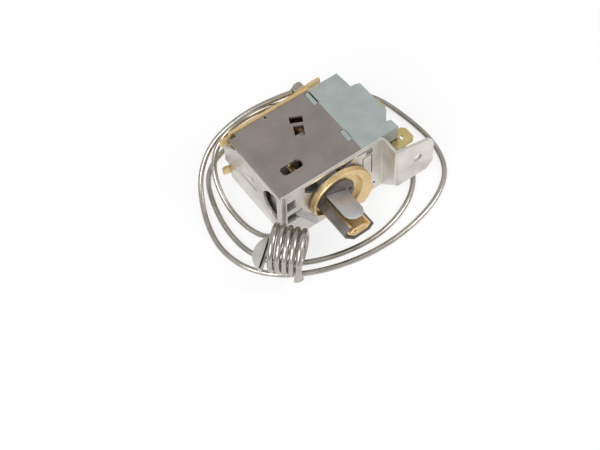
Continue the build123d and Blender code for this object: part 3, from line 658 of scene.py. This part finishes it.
# Switch housing: grey-blue moulded thermoset, closed underneath by a plain floor of the same
# plastic. The mould leaves a fine grain and slightly glossy, softly rounded corners.
plastic, plastic_shader, wire = new_finish("housing_plastic")
grain = marbling(wire, 0.25, detail=4.0)
cloud = marbling(wire, 6.0)
moulded = (cloud * 0.6 + grain * 0.4).above(0.3, 0.7)
moulded = moulded.blend((0.27, 0.305, 0.295), (0.345, 0.385, 0.37))
wire.feed(plastic_shader.inputs["Base Color"], moulded)
wire.feed(plastic_shader.inputs["Roughness"], 0.42 + (grain - 0.5) * 0.3)
bump = wire.node("ShaderNodeBump", Height=grain, Strength=0.3, Distance=0.03 * mm)
wire.feed(plastic_shader.inputs["Normal"], bump)
dress(["switch_housing", "switch_base"], plastic, rounding=0.35)

# Lugs: two plain tabs of the same moulding, which stand in the notches of the cover's edge and lie
# flush with it.
lug_low = 23.2
lug_high = 24.0
lugs = {"rear_lug": (29.25, 22.9, 31.3, 28.3), "front_lug": (29.35, 5.15, 31.3, 9.65)}
for name, (left, near, right, far) in lugs.items():
    shape = bmesh.new()
    corners = [(left, near), (right, near), (right, far), (left, far)]
    plate(shape, [corners], lug_low, lug_high, from_body)
    lug = new_piece(name, shape, [plastic])
    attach(lug, "base")

# Blades, spring nut and the two set screws: bare brass strip and rod, slightly dulled by handling.
# The blades stand in the slots of the housing.
brass = plated_metal(
    "brass",
    pale=(0.84, 0.70, 0.36),
    dull=(0.66, 0.50, 0.20),
    rough=0.28,
    metal=1.0,
    streak=(0.15, 1.5, 1.0),
)
brass_pieces = ["terminal_line", "terminal_load", "range_screw", "spring_nut", "differential_screw"]
dress(brass_pieces, brass, rounding=0.08)

# Bellows and contact leaf: thin phosphor bronze, redder than the blades. The bellows is formed and
# soldered into its dish, and the leaf is clamped at its root.
bronze = plated_metal(
    "bronze",
    pale=(0.72, 0.48, 0.30),
    dull=(0.52, 0.32, 0.18),
    rough=0.34,
    metal=1.0,
    streak=(1.5, 0.3, 1.0),
)
dress(["bellows", "contact_arm"], bronze, rounding=0.06)

# Contacts: two silver rivets, white and satin. One is riveted into the leaf and the other into the
# leg of the load blade.
silver = plated_metal(
    "silver_contact",
    pale=(0.86, 0.85, 0.83),
    dull=(0.72, 0.71, 0.69),
    rough=0.22,
    metal=1.0,
    streak=(1, 1, 1),
)
dress(["fixed_contact", "moving_contact"], silver, rounding=0.1)

# Push pin: turned from cream insulating plastic and pressed into the main lever, from where it bears
# on the contact leaf.
cream, cream_shader, wire = new_finish("pin_plastic")
speck = marbling(wire, 0.4, detail=4.0)
speckled = speck.above(0.35, 0.65).blend((0.66, 0.60, 0.47), (0.76, 0.71, 0.58))
wire.feed(cream_shader.inputs["Base Color"], speckled)
wire.feed(cream_shader.inputs["Roughness"], 0.45 + (speck - 0.5) * 0.2)
dress(["push_pin"], cream, rounding=0.08)

# Table: a plain white surface. To the camera and in the metal it glows white, except under the body,
# where nothing lights it, so that no glow shows through the openings.
table_half = 0.9
table_drop = 0.00002
table_glow = 0.8
body_middle = (-0.002, 0.001, 0.0)
shade_reach = 0.009
glow_reach = 0.012
table_mesh = bpy.data.meshes.new("table")
ways = ((-1, -1), (1, -1), (1, 1), (-1, 1))
corners = [(side * table_half, end * table_half, 0) for side, end in ways]
table_mesh.from_pydata(corners, [], [(0, 1, 2, 3)])
table = bpy.data.objects.new("table", table_mesh)
bpy.context.collection.objects.link(table)
table.location.z = -table_drop
white, white_shader, wire = new_finish("table_white")
wire.feed(white_shader.inputs["Base Color"], (0.9, 0.9, 0.9))
wire.feed(white_shader.inputs["Roughness"], 0.6)
seen = wire.node("ShaderNodeLightPath", output=0)
mirrored = wire.node("ShaderNodeLightPath", output=3)
glow = wire.node("ShaderNodeEmission", Color=(1, 1, 1), Strength=1.0)
lit = Wire(wire.tree, white_shader.outputs[0])
spot = wire.node("ShaderNodeTexCoord", output=3)
away = wire.node("ShaderNodeVectorMath", {"operation": "DISTANCE"}, output=1, _0=spot, _1=body_middle)
open_ground = away.above(shade_reach, glow_reach)
share = wire.math("MINIMUM", seen + mirrored, 1.0) * open_ground * table_glow
mixed = wire.node("ShaderNodeMixShader", _0=share, _1=lit, _2=glow)
wire.feed(wire.tree.nodes["Material Output"].inputs["Surface"], mixed)
table_mesh.materials.append(white)

# Daylight: a pale studio sky, white to the camera, with two soft boxes. It is dark at the horizon,
# brightest halfway up and darker again overhead, so that flat metal shows a tone.
world = bpy.data.worlds.new("studio")
bpy.context.scene.world = world
world.use_nodes = True
sky = Wire(world.node_tree)
sky_shader = world.node_tree.nodes["Background"]
direction = sky.node("ShaderNodeTexCoord", output=0)
height = sky.node("ShaderNodeSeparateXYZ", output=2, Vector=direction)
sky_greys = ((0.0, 0.30), (0.35, 0.55), (0.75, 0.75), (1.0, 0.45))
sky_stops = [(place, (grey, grey, grey)) for place, grey in sky_greys]
tone = height.node("ShaderNodeValToRGB", {"stops": sky_stops}, Fac=height)
backdrop = sky.node("ShaderNodeLightPath", output=0)
sky.feed(sky_shader.inputs["Color"], backdrop.blend(tone, (1.0, 1.0, 1.0)))
sky_shader.inputs["Strength"].default_value = 1.0


def soft_lamp(name, place, size, power):
    """Rectangular soft box at a place in metres, aimed at the middle of the object."""
    lamp = bpy.data.lights.new(name, "AREA")
    lamp.shape = "RECTANGLE"
    lamp.size = size[0]
    lamp.size_y = size[1]
    lamp.energy = power
    holder = bpy.data.objects.new(name, lamp)
    bpy.context.collection.objects.link(holder)
    holder.location = place
    holder.rotation_euler = (-Vector(place)).to_track_quat("-Z", "Y").to_euler()


soft_lamp("lamp_left", place=(-0.55, -0.25, 0.55), size=(0.45, 0.6), power=4.0)
soft_lamp("lamp_right", place=(0.5, -0.35, 0.5), size=(0.3, 0.5), power=2.0)

# Camera: it looks down on the knob side from the left, as the picture was taken, with a slight roll.
# Its place was fitted to the corners of the body. Lengths are in millimetres.
view_azimuth = math.radians(33.33)
view_elevation = math.radians(56.35)
view_roll = math.radians(-2.94)
view_distance = 508.0
view_aim = Vector((-17.80, -7.88, 1.07))
ahead = Vector((
    math.sin(view_azimuth) * math.cos(view_elevation),
    math.cos(view_azimuth) * math.cos(view_elevation),
    -math.sin(view_elevation),
))
level = ahead.cross(Vector((0, 0, 1))).normalized()
rise = level.cross(ahead)
right = level * math.cos(view_roll) + rise * math.sin(view_roll)
up = rise * math.cos(view_roll) - level * math.sin(view_roll)
camera_data = bpy.data.cameras.new("camera")
camera_data.lens = 96.0
camera_data.sensor_width = 36.0
camera_data.clip_start = 0.01
camera = bpy.data.objects.new("camera", camera_data)
bpy.context.collection.objects.link(camera)
spot = (view_aim - ahead * view_distance) * mm
camera.matrix_world = Matrix((
    (right.x, up.x, -ahead.x, spot.x),
    (right.y, up.y, -ahead.y, spot.y),
    (right.z, up.z, -ahead.z, spot.z),
    (0, 0, 0, 1),
))
bpy.context.scene.camera = camera
bpy.context.scene.view_settings.view_transform = "Standard"
